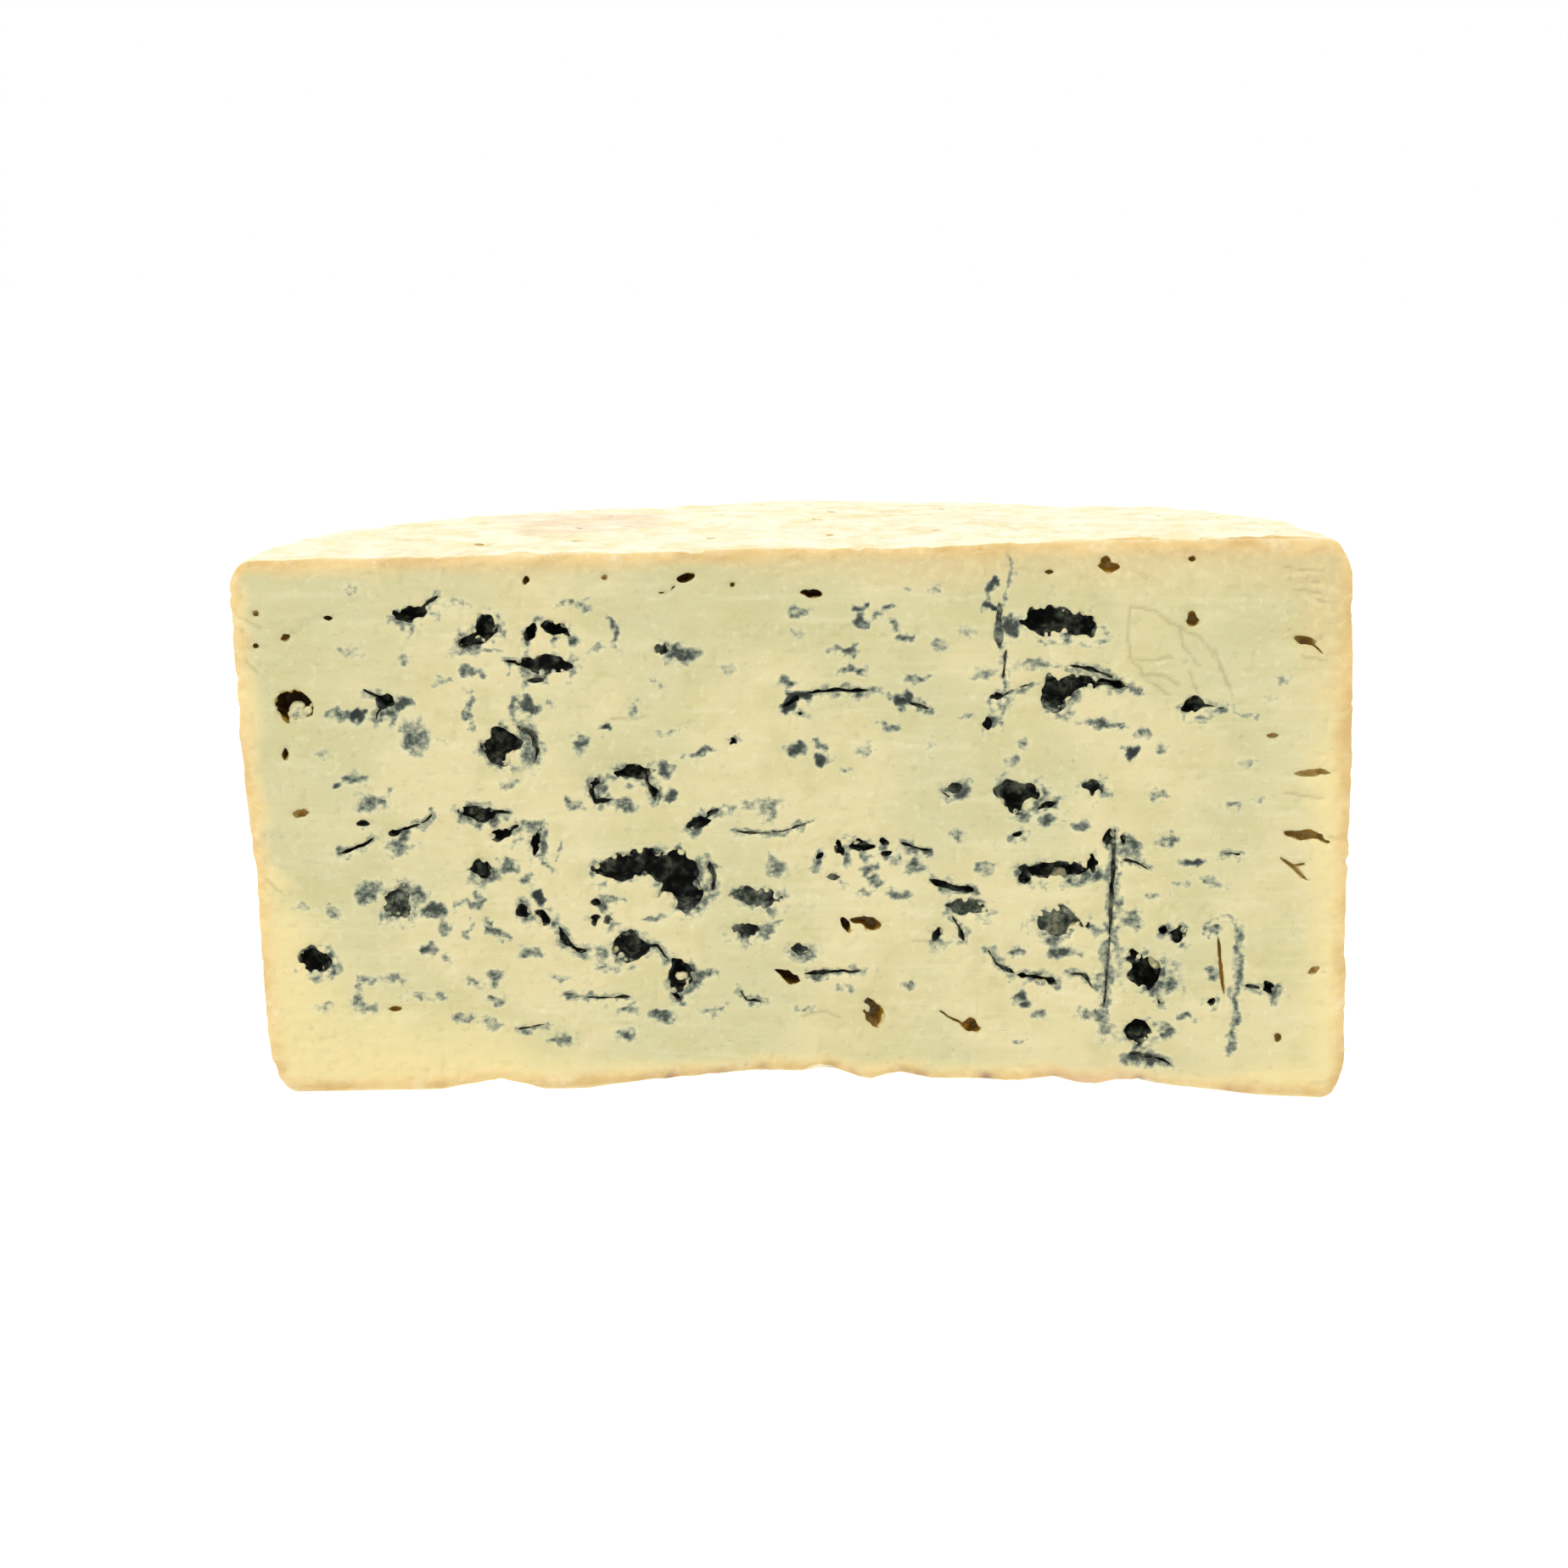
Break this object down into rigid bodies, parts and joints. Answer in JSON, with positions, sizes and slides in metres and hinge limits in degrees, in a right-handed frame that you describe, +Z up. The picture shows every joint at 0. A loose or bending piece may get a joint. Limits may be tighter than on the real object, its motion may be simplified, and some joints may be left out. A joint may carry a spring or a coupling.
{
  "type": "blue cheese half wheel",
  "caption": "Half of a small blue cheese wheel, cut square across its middle to show mould-lined eyes in pale paste, with a thin ochre rind; it stands on its flat underside.",
  "frame": {"origin": "middle of the bounding box, on the surface the cheese stands on", "axes": "+Z up, -Y out of the flat cut face, +X along the cut face"},
  "size_m": [0.2022, 0.1002, 0.1034],
  "materials": {
    "cheese": null
  },
  "bodies": {
    "root": {"cheese": "cheese"}
  },
  "joints": []
}
